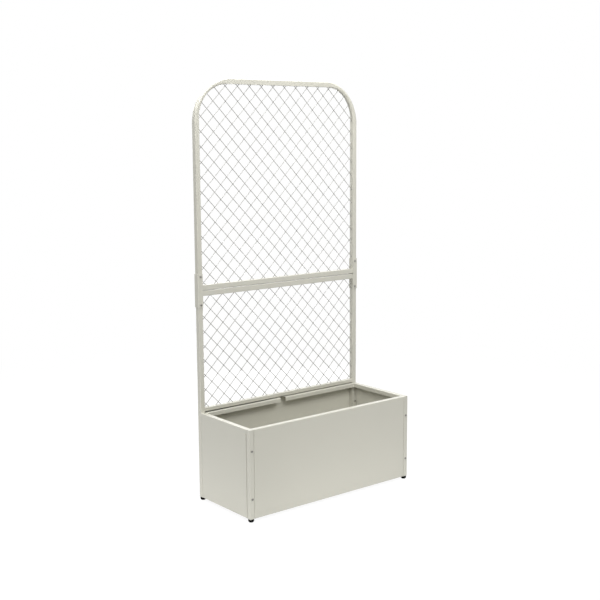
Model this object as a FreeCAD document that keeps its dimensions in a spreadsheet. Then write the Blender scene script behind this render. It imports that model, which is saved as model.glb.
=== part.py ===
import FreeCAD, Part
import math
import os
import Sketcher
from FreeCAD import Placement, Rotation, Vector

# A rectangular sheet-metal planter box on four screw-in feet, with a two-part mesh trellis
# standing on its back edge.  Millimetres.  X is the width, +Y the back and +Z up, and the
# origin lies on the ground below the middle of the box.
#
# The box has a square tube in each corner.  The back two run on upwards and carry the lower
# trellis frame; a bent arch tube stands on them and carries the upper one.  A screwed sleeve
# bridges each joint.

doc = FreeCAD.newDocument("planter_with_trellis")

# ---------------------------------------------------------------------------------------
# Driving dimensions
# ---------------------------------------------------------------------------------------
SIZES = (
    # overall
    ("overall_width", 800, "across the outer faces of the corner tubes"),
    ("box_depth", 336, "front face to back face of the box"),
    ("total_height", 1615, "ground to the top of the arch"),
    ("rim_height", 350, "ground to the top of the box"),
    ("foot_height", 12, "ground to the lower end of the tubes and panels"),
    # square tube
    ("tube_size", 20, "outside width of the square tube"),
    ("tube_wall", 1.2, "wall of the square tube"),
    ("tube_corner", 2, "outside radius of the tube's long edges"),
    # sheet panels
    ("sheet_thickness", 1.5, "sheet of the panels, floor tray and post caps"),
    ("bend_radius", 1, "inside radius of the folds"),
    ("rim_lip", 17, "height of the lip folded down along the inside of the rim"),
    ("back_rim_ledge", 10, "how far the back rim reaches past the uprights"),
    ("floor_ledge", 10, "how far the bottom flanges reach past the corner tubes"),
    ("corner_relief", 2, "gap between folded flanges that meet in a corner"),
    ("notch_width", 26, "width of the notch in the back rim"),
    ("notch_depth", 15, "how far the notch reaches back from the lip"),
    ("notch_offset", -6, "middle of the notch from the middle of the box"),
    # floor tray
    ("tray_clearance", 1, "gap between the tray and the corner tubes"),
    ("tray_edge", 20, "height of the tray's turned-up edge"),
    ("tray_corner", 6, "radius of the tray's upright corners"),
    ("drain_hole", 12, "diameter of a drain hole"),
    ("drain_spacing", 150, "drain holes, middle to middle along the width"),
    ("drain_row_spacing", 140, "the two rows of drain holes, middle to middle"),
    ("drain_columns", 5, "drain holes in a row"),
    # corner screws, and the thread that all screws share
    ("screw_size", 5, "thread diameter"),
    ("screw_clearance", 0.5, "added to the thread diameter for a through hole"),
    ("thread_gap", 0.05, "between a thread and the nut or insert it turns in, per side"),
    ("head_diameter", 9, "domed screw head"),
    ("head_height", 2.6, "domed screw head"),
    ("head_round", 2.2, "radius of the dome's edge"),
    ("socket_width", 3, "hexagon socket across the flats"),
    ("socket_depth", 1.6, "hexagon socket"),
    ("nut_width", 8, "corner nut across the flats"),
    ("nut_height", 4, "corner nut"),
    ("corner_screw_length", 30, "below the head"),
    ("corner_screw_low", 88, "ground to the lower corner screws"),
    ("corner_screw_high", 270, "ground to the upper corner screws"),
    # trellis
    ("joint_height", 824, "ground to the joint between the two trellis frames"),
    ("joint_gap", 2, "gap between the two trellis frames"),
    ("rail_gap", 3, "gap between the box rim and the rail above it"),
    ("bottom_rail_height", 15, "rectangular tube above the box rim, as deep as the square tube"),
    ("arch_radius", 145, "bend of the arch tube, along its middle"),
    ("wire_diameter", 2.5, "mesh wire"),
    ("mesh_pitch", 40, "mesh wires, middle to middle"),
    # joint sleeves
    ("sleeve_length", 128, "centred on the joint"),
    ("sleeve_thickness", 2, "plate of the sleeve"),
    ("sleeve_clearance", 0.5, "gap between the sleeve and the tube"),
    ("sleeve_corner", 3, "outside radius of the sleeve's folds"),
    ("sleeve_screw_inset", 10, "end of the sleeve to its screw"),
    ("sleeve_screw_length", 14, "below the head"),
    ("rivet_nut_diameter", 7, "body of the rivet nut in the tube wall"),
    ("rivet_nut_length", 11, "rivet nut, from the tube's face"),
    ("rivet_flange_diameter", 9.5, "flange of the rivet nut"),
    # feet
    ("foot_diameter", 22, "foot pad"),
    ("foot_base_diameter", 15, "flat under the foot pad"),
    ("foot_taper", 4, "height of the rounded part of the foot pad"),
    ("stud_diameter", 8, "threaded stud of the foot"),
    ("stud_seat", 4, "ground to the lower end of the stud"),
    ("stud_length", 32, "threaded stud of the foot"),
    ("insert_length", 20, "threaded insert in the end of the tube"),
    ("insert_gap", 0.1, "between the insert and the inside of the tube, per side"),
)

sheet = doc.addObject("Spreadsheet::Sheet", "sizes")
for row, (alias, number, meaning) in enumerate(SIZES, start=1):
    sheet.set(f"A{row}", alias)
    sheet.set(f"B{row}", str(number))
    sheet.set(f"C{row}", meaning)
    sheet.setAlias(f"B{row}", alias)
doc.recompute()

# Places that several pieces share, as formulas over the sheet.
HALF_WIDTH = "sizes.overall_width / 2"
HALF_DEPTH = "sizes.box_depth / 2"
HALF_TUBE = "sizes.tube_size / 2"
TUBE_X = f"({HALF_WIDTH} - {HALF_TUBE})"
TUBE_Y = f"({HALF_DEPTH} - {HALF_TUBE})"
INSIDE_X = f"({HALF_WIDTH} - sizes.tube_size)"
INSIDE_Y = f"({HALF_DEPTH} - sizes.tube_size)"
PANEL_HEIGHT = "(sizes.rim_height - sizes.foot_height)"
LOWER_FRAME_TOP = "(sizes.joint_height - sizes.joint_gap / 2)"
UPPER_FRAME_FOOT = "(sizes.joint_height + sizes.joint_gap / 2)"
RAIL_BOTTOM = "(sizes.rim_height + sizes.rail_gap)"
RAIL_TOP = f"({RAIL_BOTTOM} + sizes.bottom_rail_height)"
THREAD_RADIUS = "sizes.screw_size / 2"
SHANK_RADIUS = f"({THREAD_RADIUS} - sizes.thread_gap)"
HOLE_RADIUS = f"({THREAD_RADIUS} + sizes.screw_clearance / 2)"

SIDES = (("left", -1), ("right", 1))
ENDS = (("front", -1), ("back", 1))
nodes = []


# ---------------------------------------------------------------------------------------
# Modelling steps that the pieces share
# ---------------------------------------------------------------------------------------
def size(formula):
    """Work out a formula over the sheet."""
    return float(sheet.evalExpression(formula))


def bind(thing, path, formula):
    """Tie one property, or one constraint, to the sheet."""
    thing.setExpression(path, formula)


def place(thing, x="0", y="0", z="0", axis=None, angle=0):
    """Stand a piece at a place worked out from the sheet, turned about one of its axes."""
    if axis:
        thing.Placement = Placement(Vector(), Rotation(axis, angle))
    for letter, formula in zip("xyz", (x, y, z)):
        bind(thing, f"Placement.Base.{letter}", formula)
    return thing


def new_body(label, is_node=True):
    """Start a piece; a piece that is no node is only a tool for another."""
    body = doc.addObject("PartDesign::Body", label)
    body.Label = label
    body.AllowCompound = True
    if is_node:
        nodes.append(body)
    return body


def origin_part(body, role):
    """Find a plane or axis of the piece's own origin."""
    return next(part for part in body.Origin.OriginFeatures if part.Role == role)


def new_sketch(body, plane, offset="0"):
    """Attach an empty sketch to an origin plane of the piece, or parallel to it."""
    sketch = body.newObject("Sketcher::SketchObject", f"{body.Name}_sketch")
    sketch.AttachmentSupport = [(origin_part(body, plane), "")]
    sketch.MapMode = "FlatFace"
    bind(sketch, "AttachmentOffset.Base.z", offset)
    return sketch


def dimension(sketch, kind, *where, formula):
    """Constrain a sketch to a formula over the sheet."""
    index = sketch.addConstraint(Sketcher.Constraint(kind, *where, size(formula)))
    bind(sketch, f"Constraints[{index}]", formula)


def pin_point(sketch, edge, end, x, y):
    """Dimension one end of a line, or the middle of a circle, from the sketch's origin."""
    dimension(sketch, "DistanceX", -1, 1, edge, end, formula=x)
    dimension(sketch, "DistanceY", -1, 1, edge, end, formula=y)


def add_outline(sketch, corners):
    """Draw a closed outline of straight lines through corners given as (x, y) formulas."""
    points = [Vector(size(x), size(y), 0) for x, y in corners]
    edges = [
        sketch.addGeometry(Part.LineSegment(point, points[(number + 1) % len(points)]))
        for number, point in enumerate(points)
    ]
    for edge, following in zip(edges, edges[1:] + edges[:1]):
        sketch.addConstraint(Sketcher.Constraint("Coincident", edge, 2, following, 1))
    for edge, (x, y) in zip(edges, corners):
        pin_point(sketch, edge, 1, x, y)
    return sketch


def add_rectangle(sketch, x_low, x_high, y_low, y_high):
    """Draw a rectangle between four formulas."""
    return add_outline(sketch, [(x_low, y_low), (x_high, y_low), (x_high, y_high), (x_low, y_high)])


def add_circle(sketch, x, y, radius):
    """Draw a circle round a place given by formulas."""
    centre = Vector(size(x), size(y), 0)
    edge = sketch.addGeometry(Part.Circle(centre, Vector(0, 0, 1), size(radius)))
    pin_point(sketch, edge, 3, x, y)
    dimension(sketch, "Radius", edge, formula=radius)
    return sketch


def add_arc(sketch, x, y, radius, start):
    """Draw a quarter circle that starts at an angle in degrees; its ends are tied later."""
    circle = Part.Circle(Vector(x, y, 0), Vector(0, 0, 1), radius)
    return sketch.addGeometry(
        Part.ArcOfCircle(circle, math.radians(start), math.radians(start + 90))
    )


def join_smoothly(sketch, edge, edge_end, following, following_end):
    """Make two edges meet end to end without a kink."""
    sketch.addConstraint(
        Sketcher.Constraint("Tangent", edge, edge_end, following, following_end)
    )


def add_rounded_rectangle(sketch, half_width, half_height, radius, x="0"):
    """Draw a rectangle with rounded corners, its middle on the sketch's X axis."""
    halves, bend, middle = (size(half_width), size(half_height)), size(radius), size(x)
    lines = []
    arcs = []
    for number in range(4):
        turn = Rotation(Vector(0, 0, 1), 90 * number)
        along, reach = halves[number % 2], halves[1 - number % 2]
        start = turn.multVec(Vector(bend - along, -reach, 0)) + Vector(middle, 0, 0)
        end = turn.multVec(Vector(along - bend, -reach, 0)) + Vector(middle, 0, 0)
        corner = turn.multVec(Vector(along - bend, bend - reach, 0)) + Vector(middle, 0, 0)
        lines.append(sketch.addGeometry(Part.LineSegment(start, end)))
        arcs.append(add_arc(sketch, corner.x, corner.y, bend, 90 * number - 90))
    for number in range(4):
        join_smoothly(sketch, lines[number], 2, arcs[number], 1)
        join_smoothly(sketch, arcs[number], 2, lines[(number + 1) % 4], 1)
        direction = "Vertical" if number % 2 else "Horizontal"
        sketch.addConstraint(Sketcher.Constraint(direction, lines[number]))
        if number:
            sketch.addConstraint(Sketcher.Constraint("Equal", arcs[0], arcs[number]))
    dimension(sketch, "Radius", arcs[0], formula=radius)
    dimension(sketch, "DistanceY", -1, 1, lines[0], 1, formula=f"-({half_height})")
    dimension(sketch, "DistanceX", -1, 1, lines[1], 1, formula=f"{x} + {half_width}")
    dimension(sketch, "DistanceY", -1, 1, lines[2], 1, formula=half_height)
    dimension(sketch, "DistanceX", -1, 1, lines[3], 1, formula=f"{x} - {half_width}")
    return sketch


def add_rounded_square(sketch, half, radius):
    """Draw a square with rounded corners, its middle on the sketch's origin."""
    return add_rounded_rectangle(sketch, half, half, radius)


def add_hexagon(sketch, across_flats):
    """Draw a hexagon round the sketch's origin, two of its corners on the X axis."""
    flat = f"({across_flats} / 2)"
    point = f"({across_flats} / sqrt(3))"
    return add_outline(sketch, [
        (point, "0"),
        (f"{point} / 2", flat),
        (f"-{point} / 2", flat),
        (f"-{point}", "0"),
        (f"-{point} / 2", f"-{flat}"),
        (f"{point} / 2", f"-{flat}"),
    ])


def extrude(body, kind, sketch, length, both_ways=False, backwards=False):
    """Pad or pocket a sketch."""
    feature = body.newObject(f"PartDesign::{kind}", f"{body.Name}_{kind.lower()}")
    feature.Profile = sketch
    feature.SideType = "Symmetric" if both_ways else "One side"
    feature.Reversed = backwards
    bind(feature, "Length", length)
    sketch.Visibility = False
    body.Tip = feature
    return feature


def pad(body, sketch, length, both_ways=False, backwards=False):
    """Add material over a sketch."""
    return extrude(body, "Pad", sketch, length, both_ways, backwards)


def cut(body, sketch, length, both_ways=False, backwards=False):
    """Take material away over a sketch, and make sure that some went."""
    doc.recompute()
    before = body.Shape.Volume
    feature = extrude(body, "Pocket", sketch, length, both_ways, backwards)
    doc.recompute()
    if body.Shape.Volume > before - 1e-6:
        raise RuntimeError(f"{feature.Name} cuts nothing")
    return feature


def revolve(body, sketch):
    """Turn a sketch all round its vertical axis."""
    feature = body.newObject("PartDesign::Revolution", f"{body.Name}_revolution")
    feature.Profile = sketch
    feature.ReferenceAxis = (sketch, ["V_Axis"])
    feature.Angle = 360
    sketch.Visibility = False
    body.Tip = feature
    return feature


def repeat(body, axis, spacing, count, feature=None):
    """Repeat one feature, or else the whole piece, along one of the piece's own axes."""
    doc.recompute()
    pattern = body.newObject("PartDesign::LinearPattern", f"{body.Name}_pattern")
    if feature:
        pattern.Originals = [feature]
    else:
        pattern.TransformMode = "Whole shape"
    pattern.Direction = (origin_part(body, axis), [""])
    pattern.Mode = "Spacing"
    bind(pattern, "Offset", spacing)
    bind(pattern, "Occurrences", count)
    body.Tip = pattern
    return pattern


def mirror(body, features, plane):
    """Mirror features in one of the piece's own planes."""
    mirrored = body.newObject("PartDesign::Mirrored", f"{body.Name}_mirrored")
    mirrored.Originals = features
    mirrored.MirrorPlane = (origin_part(body, plane), [""])
    body.Tip = mirrored
    return mirrored


def round_edges(body, radius, points):
    """Fillet the edges that pass through points given as (x, y, z) formulas."""
    doc.recompute()
    base = body.Tip
    spots = [Part.Vertex(*(size(formula) for formula in point)) for point in points]
    names = [
        f"Edge{number}"
        for number, edge in enumerate(base.Shape.Edges, start=1)
        if any(edge.distToShape(spot)[0] < 1e-4 for spot in spots)
    ]
    if len(names) < len(spots):
        raise RuntimeError(f"{body.Name} has no edge at one of the places to be rounded")
    fillet = body.newObject("PartDesign::Fillet", f"{body.Name}_fillet")
    fillet.Base = (base, names)
    bind(fillet, "Radius", radius)
    body.Tip = fillet
    return fillet


# ---------------------------------------------------------------------------------------
# Tubes: the front posts, the back uprights, the rails and the arch
# ---------------------------------------------------------------------------------------
def add_tube_section(sketch, x="0", height="sizes.tube_size"):
    """Draw the wall of the square tube, or of one as wide and of another height."""
    half_height = f"({height} / 2)"
    add_rounded_rectangle(sketch, HALF_TUBE, half_height, "sizes.tube_corner", x)
    inner_half = f"({HALF_TUBE} - sizes.tube_wall)"
    inner_half_height = f"({half_height} - sizes.tube_wall)"
    inner_corner = "(sizes.tube_corner - sizes.tube_wall)"
    return add_rounded_rectangle(sketch, inner_half, inner_half_height, inner_corner, x)


def corner_tube(label, side, y, height):
    """Stand a tube in a corner of the box, drilled through for the two corner screws."""
    body = new_body(label)
    pad(body, add_tube_section(new_sketch(body, "XY_Plane")), height)
    holes = new_sketch(body, "XZ_Plane")
    for screw_height in ("sizes.corner_screw_low", "sizes.corner_screw_high"):
        add_circle(holes, "0", f"{screw_height} - sizes.foot_height", HOLE_RADIUS)
    cut(body, holes, "2 * sizes.tube_size", both_ways=True)
    return place(body, f"{side} * {TUBE_X}", y, "sizes.foot_height")


def rail(label, bottom, height="sizes.tube_size"):
    """Lay a tube between the two uprights of the trellis."""
    body = new_body(label)
    section = add_tube_section(new_sketch(body, "YZ_Plane"), height=height)
    pad(body, section, f"2 * {INSIDE_X}", both_ways=True)
    return place(body, y=TUBE_Y, z=f"{bottom} + {height} / 2")


def cut_rivet_nut_hole(body, x, height):
    """Drill the front wall of a tube for the rivet nut of a sleeve screw."""
    hole = new_sketch(body, "XZ_Plane")
    add_circle(hole, x, height, "sizes.rivet_nut_diameter / 2")
    return cut(body, hole, HALF_TUBE, backwards=True)


def front_post(side_name, side):
    """Front corner tube, closed at the top by a welded cap."""
    height = f"{PANEL_HEIGHT} - sizes.sheet_thickness"
    corner_tube(f"front_{side_name}_post", side, f"-{TUBE_Y}", height)
    cap = new_body(f"front_{side_name}_post_cap")
    top = add_rounded_square(new_sketch(cap, "XY_Plane"), HALF_TUBE, "sizes.tube_corner")
    pad(cap, top, "sizes.sheet_thickness")
    place(cap, f"{side} * {TUBE_X}", f"-{TUBE_Y}", "sizes.rim_height - sizes.sheet_thickness")


def upright(side_name, side):
    """Back corner tube, which runs on up to the joint between the trellis frames."""
    height = f"({LOWER_FRAME_TOP} - sizes.foot_height)"
    body = corner_tube(f"{side_name}_upright", side, TUBE_Y, height)
    sleeve_end = "(sizes.joint_height - sizes.sleeve_length / 2)"
    cut_rivet_nut_hole(body, "0", f"{sleeve_end} + sizes.sleeve_screw_inset - sizes.foot_height")


def arch():
    """One tube bent up, over and down again; its own origin is midway between its feet."""
    body = new_body("arch_tube")
    rise = f"(sizes.total_height - {HALF_TUBE} - {UPPER_FRAME_FOOT})"
    reach, top, bend = size(TUBE_X), size(rise), size("sizes.arch_radius")
    path = new_sketch(body, "XZ_Plane")
    left_leg = path.addGeometry(
        Part.LineSegment(Vector(-reach, 0, 0), Vector(-reach, top - bend, 0))
    )
    left_bend = add_arc(path, -reach + bend, top - bend, bend, 90)
    span = path.addGeometry(
        Part.LineSegment(Vector(-reach + bend, top, 0), Vector(reach - bend, top, 0))
    )
    right_bend = add_arc(path, reach - bend, top - bend, bend, 0)
    right_leg = path.addGeometry(
        Part.LineSegment(Vector(reach, top - bend, 0), Vector(reach, 0, 0))
    )
    join_smoothly(path, left_leg, 2, left_bend, 2)
    join_smoothly(path, left_bend, 1, span, 1)
    join_smoothly(path, span, 2, right_bend, 2)
    join_smoothly(path, right_bend, 1, right_leg, 1)
    for edge, direction in ((left_leg, "Vertical"), (span, "Horizontal"), (right_leg, "Vertical")):
        path.addConstraint(Sketcher.Constraint(direction, edge))
    path.addConstraint(Sketcher.Constraint("Equal", left_bend, right_bend))
    dimension(path, "Radius", left_bend, formula="sizes.arch_radius")
    pin_point(path, left_leg, 1, f"-{TUBE_X}", "0")
    pin_point(path, right_leg, 2, TUBE_X, "0")
    dimension(path, "DistanceY", -1, 1, span, 1, formula=rise)

    section = add_tube_section(new_sketch(body, "XY_Plane"), f"-{TUBE_X}")
    pipe = body.newObject("PartDesign::AdditivePipe", "arch_tube_pipe")
    pipe.Profile = section
    pipe.Spine = (path, [f"Edge{number}" for number in range(1, 6)])
    body.Tip = pipe
    screw_height = "sizes.sleeve_length / 2 - sizes.sleeve_screw_inset - sizes.joint_gap / 2"
    for _, side in SIDES:
        cut_rivet_nut_hole(body, f"{side} * {TUBE_X}", screw_height)
    place(body, y=TUBE_Y, z=UPPER_FRAME_FOOT)


for side_name, side in SIDES:
    front_post(side_name, side)
    upright(side_name, side)
rail("lower_frame_bottom_rail", RAIL_BOTTOM, "sizes.bottom_rail_height")
rail("lower_frame_top_rail", f"({LOWER_FRAME_TOP} - sizes.tube_size)")
arch()
rail("upper_frame_bottom_rail", UPPER_FRAME_FOOT)


# ---------------------------------------------------------------------------------------
# Folded sheet panels of the box
# ---------------------------------------------------------------------------------------
def folded_panel(label, plane, outer, rim, bottom, length):
    """Pad the folded section of a panel: bottom flange, wall, rim and the lip inside it.

    The section lies across the sketch's X axis, with the wall's outer face at `outer` on
    the negative side and its flanges reaching `rim` and `bottom` towards the middle.
    """
    body = new_body(label)
    wall = f"(-{outer})"
    wall_inside = f"({wall} + sizes.sheet_thickness)"
    lip = f"({wall} + {rim})"
    lip_inside = f"({lip} - sizes.sheet_thickness)"
    ledge_end = f"({wall} + {bottom})"
    rim_under = f"({PANEL_HEIGHT} - sizes.sheet_thickness)"
    lip_end = f"({PANEL_HEIGHT} - sizes.rim_lip)"
    section = add_outline(new_sketch(body, plane), [
        (ledge_end, "0"),
        (wall, "0"),
        (wall, PANEL_HEIGHT),
        (lip, PANEL_HEIGHT),
        (lip, lip_end),
        (lip_inside, lip_end),
        (lip_inside, rim_under),
        (wall_inside, rim_under),
        (wall_inside, "sizes.sheet_thickness"),
        (ledge_end, "sizes.sheet_thickness"),
    ])
    pad(body, section, length, both_ways=True)
    outer_bend = "sizes.bend_radius + sizes.sheet_thickness"
    outside = [(wall, "0"), (wall, PANEL_HEIGHT), (lip, PANEL_HEIGHT)]
    inside = [(wall_inside, "sizes.sheet_thickness"), (wall_inside, rim_under), (lip_inside, rim_under)]
    for radius, bends in ((outer_bend, outside), ("sizes.bend_radius", inside)):
        spots = [("0", a, z) if plane == "YZ_Plane" else (a, "0", z) for a, z in bends]
        round_edges(body, radius, spots)
    return body


def end_panel(label, turn):
    """Front or back panel between two corner tubes, its end flanges against their sides."""
    rim = "sizes.tube_size"
    if label == "back_panel":
        rim = "(sizes.tube_size + sizes.back_rim_ledge)"
    ledge = "(sizes.tube_size + sizes.floor_ledge)"
    body = folded_panel(label, "YZ_Plane", HALF_DEPTH, rim, ledge, f"2 * {INSIDE_X}")
    flange = add_rectangle(
        new_sketch(body, "YZ_Plane", INSIDE_X),
        f"-{HALF_DEPTH} + sizes.sheet_thickness",
        f"-{INSIDE_Y}",
        "sizes.sheet_thickness",
        f"{PANEL_HEIGHT} - sizes.rim_lip - sizes.corner_relief",
    )
    end = pad(body, flange, "sizes.sheet_thickness", backwards=True)
    mirror(body, [end], "YZ_Plane")
    return place(body, z="sizes.foot_height", axis=Vector(0, 0, 1), angle=turn)


def side_panel(label, turn):
    """Side panel, its end flanges lying against the corner tubes and screwed to them."""
    ledge = "(sizes.tube_size + sizes.floor_ledge)"
    body = folded_panel(label, "XZ_Plane", HALF_WIDTH, "sizes.tube_size", ledge, f"2 * {INSIDE_Y}")
    # The sketch plane's normal points to the front, so a positive offset moves it there.
    flange = add_rectangle(
        new_sketch(body, "XZ_Plane", INSIDE_Y),
        f"-{HALF_WIDTH} + sizes.sheet_thickness",
        f"-{INSIDE_X}",
        "sizes.sheet_thickness",
        f"{PANEL_HEIGHT} - sizes.rim_lip - sizes.corner_relief",
    )
    end = pad(body, flange, "sizes.sheet_thickness", backwards=True)
    mirror(body, [end], "XZ_Plane")
    # The bottom flange stops short of those of the front and back panels.
    corner = add_rectangle(
        new_sketch(body, "XY_Plane"),
        f"-{INSIDE_X} - sizes.corner_relief",
        f"-{INSIDE_X} + sizes.floor_ledge + sizes.corner_relief",
        f"-{INSIDE_Y} - sizes.corner_relief",
        f"-{INSIDE_Y} + sizes.floor_ledge + sizes.corner_relief",
    )
    corner_cut = cut(body, corner, "sizes.sheet_thickness", backwards=True)
    mirror(body, [corner_cut], "XZ_Plane")
    holes = new_sketch(body, "XZ_Plane")
    for screw_height in ("sizes.corner_screw_low", "sizes.corner_screw_high"):
        add_circle(holes, f"-{TUBE_X}", f"{screw_height} - sizes.foot_height", HOLE_RADIUS)
    cut(body, holes, "sizes.box_depth", both_ways=True)
    return place(body, z="sizes.foot_height", axis=Vector(0, 0, 1), angle=turn)


def notch_back_rim(body):
    """Cut the notch through the rim and lip of the back panel, which is turned round."""
    lip = f"(-{INSIDE_Y} + sizes.back_rim_ledge)"
    notch = add_rectangle(
        new_sketch(body, "XY_Plane", PANEL_HEIGHT),
        "-sizes.notch_offset - sizes.notch_width / 2",
        "-sizes.notch_offset + sizes.notch_width / 2",
        f"{lip} - sizes.notch_depth",
        f"{lip} + sizes.sheet_thickness",
    )
    cut(body, notch, "sizes.rim_lip + sizes.sheet_thickness")


def floor_tray():
    """Tray with turned-up edges and drain holes, lying on the panels' bottom flanges."""
    body = new_body("floor_tray")
    half_x = f"({INSIDE_X} - sizes.tray_clearance)"
    half_y = f"({INSIDE_Y} - sizes.tray_clearance)"
    blank = add_rectangle(new_sketch(body, "XY_Plane"), f"-{half_x}", half_x, f"-{half_y}", half_y)
    pad(body, blank, "sizes.tray_edge")
    inner_x = f"({half_x} - sizes.sheet_thickness)"
    inner_y = f"({half_y} - sizes.sheet_thickness)"
    hollow = add_rectangle(
        new_sketch(body, "XY_Plane", "sizes.tray_edge"), f"-{inner_x}", inner_x, f"-{inner_y}", inner_y
    )
    cut(body, hollow, "sizes.tray_edge - sizes.sheet_thickness")
    inner_corner = "sizes.tray_corner - sizes.sheet_thickness"
    for radius, x, y in ((inner_corner, inner_x, inner_y), ("sizes.tray_corner", half_x, half_y)):
        round_edges(body, radius, [
            (f"{across} * {x}", f"{along} * {y}", "(sizes.tray_edge + sizes.sheet_thickness) / 2")
            for _, across in SIDES for _, along in ENDS
        ])
    first_x = "-(sizes.drain_columns - 1) * sizes.drain_spacing / 2"
    first_holes = new_sketch(body, "XY_Plane")
    for _, end in ENDS:
        hole_y = f"{end} * sizes.drain_row_spacing / 2"
        add_circle(first_holes, first_x, hole_y, "sizes.drain_hole / 2")
    holes = cut(body, first_holes, "2 * sizes.sheet_thickness", both_ways=True)
    repeat(body, "X_Axis", "sizes.drain_spacing", "sizes.drain_columns", holes)
    place(body, z="sizes.foot_height + sizes.sheet_thickness")


end_panel("front_panel", 0)
notch_back_rim(end_panel("back_panel", 180))
side_panel("left_side_panel", 0)
side_panel("right_side_panel", 180)
floor_tray()


# ---------------------------------------------------------------------------------------
# Wire mesh of the trellis frames
# ---------------------------------------------------------------------------------------
def frame_opening(label, bottom, top, radius=None):
    """Fill the inside of a trellis frame, as the tool that trims the wires."""
    body = new_body(label, is_node=False)
    outline = add_rectangle(new_sketch(body, "XZ_Plane"), f"-{INSIDE_X}", INSIDE_X, bottom, top)
    pad(body, outline, "sizes.tube_size", both_ways=True)
    if radius:
        round_edges(body, radius, [(f"{side} * {INSIDE_X}", "0", top) for _, side in SIDES])
    return place(body, y=TUBE_Y)


def mesh_layer(label, opening, bottom, top, crossing, side, angle):
    """Trim one layer of parallel wires to an opening; a wire passes through `crossing`."""
    wires = new_body(f"{label}_untrimmed", is_node=False)
    reach = f"max({top} - {crossing}; {crossing} - {bottom})"
    half_count = f"ceil(({INSIDE_X} + {reach}) / (sqrt(2) * sizes.mesh_pitch))"
    first = new_sketch(wires, "YZ_Plane")
    add_circle(first, "0", f"-{half_count} * sizes.mesh_pitch", "sizes.wire_diameter / 2")
    wire = pad(wires, first, "sizes.overall_width + sizes.total_height", both_ways=True)
    repeat(wires, "Z_Axis", "sizes.mesh_pitch", f"2 * {half_count} + 1", wire)
    layer_y = f"{TUBE_Y} + {side} * sizes.wire_diameter / 2"
    place(wires, y=layer_y, z=crossing, axis=Vector(0, 1, 0), angle=angle)
    trimmed = doc.addObject("Part::Common", label)
    trimmed.Label = label
    trimmed.Base = wires
    trimmed.Tool = opening
    nodes.append(trimmed)


def mesh(name, bottom, top, crossing, radius=None):
    """Two layers of wires at right angles, one lying against the other."""
    opening = frame_opening(f"{name}_opening", bottom, top, radius)
    mesh_layer(f"{name}_mesh_falling_wires", opening, bottom, top, crossing, -1, 45)
    mesh_layer(f"{name}_mesh_rising_wires", opening, bottom, top, crossing, 1, -45)


lower_top = f"({LOWER_FRAME_TOP} - sizes.tube_size)"
mesh("lower", RAIL_TOP, lower_top, lower_top)
upper_bottom = f"({UPPER_FRAME_FOOT} + sizes.tube_size)"
upper_top = "(sizes.total_height - sizes.tube_size)"
upper_middle = f"(({upper_bottom} + {upper_top}) / 2)"
mesh("upper", upper_bottom, upper_top, upper_middle, f"sizes.arch_radius - {HALF_TUBE}")


# ---------------------------------------------------------------------------------------
# Joint sleeves
# ---------------------------------------------------------------------------------------
def sleeve(side_name, side):
    """U-shaped plate round the outside of a joint, open towards the mesh."""
    body = new_body(f"{side_name}_joint_sleeve")
    gap = f"({HALF_TUBE} + sizes.sleeve_clearance)"
    outer = f"({gap} + sizes.sleeve_thickness)"
    section = add_outline(new_sketch(body, "XY_Plane"), [
        (f"-{side} * {HALF_TUBE}", f"-{outer}"),
        (f"{side} * {outer}", f"-{outer}"),
        (f"{side} * {outer}", outer),
        (f"-{side} * {HALF_TUBE}", outer),
        (f"-{side} * {HALF_TUBE}", gap),
        (f"{side} * {gap}", gap),
        (f"{side} * {gap}", f"-{gap}"),
        (f"-{side} * {HALF_TUBE}", f"-{gap}"),
    ])
    pad(body, section, "sizes.sleeve_length", both_ways=True)
    inner_radius = "sizes.sleeve_corner - sizes.sleeve_thickness"
    for radius, reach in (("sizes.sleeve_corner", outer), (inner_radius, gap)):
        round_edges(body, radius, [(f"{side} * {reach}", f"{y} * {reach}", "0") for y in (-1, 1)])
    holes = new_sketch(body, "XZ_Plane")
    for end in (-1, 1):
        height = f"{end} * (sizes.sleeve_length / 2 - sizes.sleeve_screw_inset)"
        add_circle(holes, "0", height, HOLE_RADIUS)
    cut(body, holes, outer, backwards=True)
    place(body, f"{side} * {TUBE_X}", TUBE_Y, "sizes.joint_height")


for side_name, side in SIDES:
    sleeve(side_name, side)


# ---------------------------------------------------------------------------------------
# Screws and nuts, two by two on the left and right corner tubes
# ---------------------------------------------------------------------------------------
LEFT_TO_RIGHT = f"2 * {TUBE_X}"
SLEEVE_SCREW_SPACING = "sizes.sleeve_length - 2 * sizes.sleeve_screw_inset"
CORNER_SCREW_SPACING = "sizes.corner_screw_high - sizes.corner_screw_low"


def repeat_corners(body, z_spacing):
    """Repeat a whole piece from left to right and upwards, as four separate solids."""
    repeat(body, "X_Axis", LEFT_TO_RIGHT, "2")
    repeat(body, "Z_Axis", z_spacing, "2")


def four_screws(label, length, z_spacing):
    """Domed socket screws; a head sits on the piece's own XZ plane, its shank along +Y."""
    body = new_body(label)
    head_radius = "sizes.head_diameter / 2"
    revolve(body, add_outline(new_sketch(body, "XY_Plane"), [
        ("0", "-sizes.head_height"),
        (head_radius, "-sizes.head_height"),
        (head_radius, "0"),
        (SHANK_RADIUS, "0"),
        (SHANK_RADIUS, length),
        ("0", length),
    ]))
    round_edges(body, "sizes.head_round", [(head_radius, "-sizes.head_height", "0")])
    socket = add_hexagon(new_sketch(body, "XZ_Plane", "sizes.head_height"), "sizes.socket_width")
    cut(body, socket, "sizes.socket_depth")
    repeat_corners(body, z_spacing)
    return body


def four_nuts(label):
    """Hexagon nuts that reach from the piece's own XZ plane along +Y."""
    body = new_body(label)
    section = add_hexagon(new_sketch(body, "XZ_Plane"), "sizes.nut_width")
    add_circle(section, "0", "0", THREAD_RADIUS)
    pad(body, section, "sizes.nut_height", backwards=True)
    repeat_corners(body, CORNER_SCREW_SPACING)
    return body


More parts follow.
